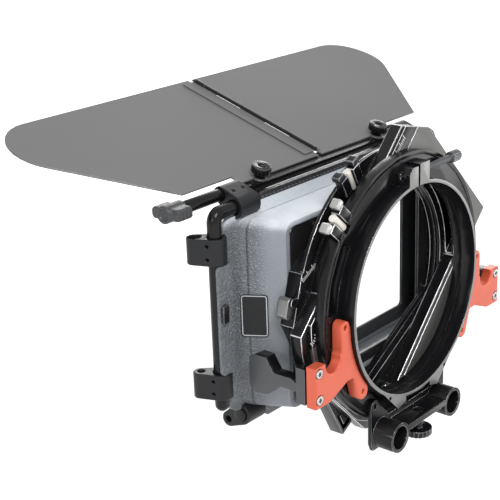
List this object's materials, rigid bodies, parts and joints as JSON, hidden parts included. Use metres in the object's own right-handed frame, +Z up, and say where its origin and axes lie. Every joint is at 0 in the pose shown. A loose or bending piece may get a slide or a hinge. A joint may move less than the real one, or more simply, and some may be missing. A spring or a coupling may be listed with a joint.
{
  "type": "matte box",
  "caption": "Camera matte box: clamp ring on a rod bracket, two turning filter stages, sliding filter tray, flared hood in a tube frame, folding top flag.",
  "frame": {"origin": "on the optical axis, in the rear face of the clamp ring", "axes": "+X to the right seen from behind, +Y forward to the subject, +Z up"},
  "size_m": [0.3418, 0.1891, 0.2056],
  "materials": {
    "black_metal": "black anodised",
    "black_plastic": "matte",
    "red_metal": "satin red",
    "grey_metal": "satin grey",
    "dark_grey_metal": "satin dark grey",
    "satin_metal": "satin",
    "ivory_plastic": "semi-gloss",
    "screw_steel": "bright",
    "grained_hood": "leather grain",
    "flag_metal": "satin grey"
  },
  "bodies": {
    "matte_box": {"clamp_ring": "black_metal", "base_ring": "black_metal", "red_bracket_left": "red_metal", "red_bracket_right": "red_metal", "bracket_screw_upper_left": "screw_steel", "bracket_screw_upper_right": "screw_steel", "bracket_screw_lower_left": "screw_steel", "bracket_screw_lower_right": "screw_steel", "hook_left": "grey_metal", "hook_right": "grey_metal", "rod_bracket": "black_metal", "rear_catch_body": "black_metal", "hood_adapter": "black_metal", "hood_shell": "grained_hood", "badge_plate": "black_plastic", "hood_latch": "black_metal", "lower_shade": "black_metal", "front_mask": "black_plastic", "tube_frame": "black_metal", "bottom_bar": "black_metal", "clip_top_left": "dark_grey_metal", "clip_top_right": "dark_grey_metal", "clip_side_upper_left": "dark_grey_metal", "clip_side_upper_right": "dark_grey_metal", "clip_side_lower_left": "dark_grey_metal", "clip_side_lower_right": "dark_grey_metal", "clip_bottom_left": "dark_grey_metal", "clip_bottom_right": "dark_grey_metal"},
    "clamp_screw": {"clamp_screw": "black_metal"},
    "rod_lock_knob": {"rod_lock_knob": "black_metal"},
    "rear_catch": {"rear_catch_pin": "ivory_plastic", "rear_catch_tab_upper": "satin_metal", "rear_catch_tab_lower": "satin_metal"},
    "rear_stage": {"rear_stage_plate": "satin_metal", "rear_stage_frame": "black_metal"},
    "front_stage": {"front_stage_frame": "black_metal", "front_catch_body": "black_metal"},
    "front_tray": {"front_tray": "black_metal"},
    "front_catch": {"front_catch_pin": "ivory_plastic", "front_catch_tab_upper": "satin_metal", "front_catch_tab_lower": "satin_metal"},
    "stage_lock_knob": {"stage_lock_knob": "black_plastic"},
    "stage_lever": {"stage_lever": "satin_metal"},
    "flag": {"flag_bar": "black_metal", "flag_right": "flag_metal", "flag_hinge_right": "flag_metal", "flag_hinge_pin": "screw_steel"},
    "flag_leaf": {"flag_left": "flag_metal", "flag_hinge_left": "flag_metal"},
    "wing_knob": {"wing_knob": "black_plastic"},
    "thumb_screw_left": {"thumb_screw_left": "black_metal"},
    "thumb_screw_right": {"thumb_screw_right": "black_metal"}
  },
  "joints": [
    {"name": "clamp_screw_turn", "type": "hinge", "parent": "matte_box", "child": "clamp_screw", "pos_m": [0, 0.0047, 0.0718], "axis": [1, 0, 0], "continuous": true},
    {"name": "rod_lock_turn", "type": "hinge", "parent": "matte_box", "child": "rod_lock_knob", "pos_m": [0, 0, -0.09], "axis": [0, 0, 1], "continuous": true},
    {"name": "rear_catch_pull", "type": "slide", "parent": "matte_box", "child": "rear_catch", "axis": [-0.749, 0, 0.6626], "range_m": [0, 0.002], "stiffness_N_per_m": 300},
    {"name": "rear_stage_turn", "type": "hinge", "parent": "matte_box", "child": "rear_stage", "pos_m": [0, 0.021, 0], "axis": [0, -1, 0], "range_deg": [-15, 6]},
    {"name": "front_stage_turn", "type": "hinge", "parent": "matte_box", "child": "front_stage", "pos_m": [0, 0.031, 0], "axis": [0, -1, 0], "range_deg": [-5, 45]},
    {"name": "front_tray_slide", "type": "slide", "parent": "front_stage", "child": "front_tray", "axis": [0.8829, 0, 0.4695], "range_m": [0, 0.11]},
    {"name": "front_catch_pull", "type": "slide", "parent": "front_stage", "child": "front_catch", "axis": [-0.454, 0, 0.891], "range_m": [0, 0.002], "stiffness_N_per_m": 300},
    {"name": "stage_lock_turn", "type": "hinge", "parent": "front_stage", "child": "stage_lock_knob", "pos_m": [-0.03868, 0.03, -0.07668], "axis": [0, 1, 0], "range_deg": [0, 90]},
    {"name": "stage_lever_swing", "type": "hinge", "parent": "front_stage", "child": "stage_lever", "pos_m": [-0.08691, 0.032, 0.01299], "axis": [0, 1, 0], "range_deg": [0, 40]},
    {"name": "flag_tilt", "type": "hinge", "parent": "matte_box", "child": "flag", "pos_m": [0, 0.0732, 0.0709], "axis": [1, 0, 0], "range_deg": [-85, 28]},
    {"name": "flag_fold", "type": "hinge", "parent": "flag", "child": "flag_leaf", "pos_m": [0, 0.07194, 0.07475], "axis": [0, 0.9505, 0.3107], "range_deg": [0, 150]},
    {"name": "wing_knob_turn", "type": "hinge", "parent": "flag", "child": "wing_knob", "pos_m": [-0.133, 0.0732, 0.0709], "axis": [1, 0, 0], "continuous": true},
    {"name": "thumb_screw_left_turn", "type": "hinge", "parent": "flag_leaf", "child": "thumb_screw_left", "pos_m": [-0.0595, 0.0732, 0.0709], "axis": [0, -0.3107, 0.9505], "continuous": true},
    {"name": "thumb_screw_right_turn", "type": "hinge", "parent": "flag", "child": "thumb_screw_right", "pos_m": [0.0595, 0.0732, 0.0709], "axis": [0, -0.3107, 0.9505], "continuous": true}
  ]
}
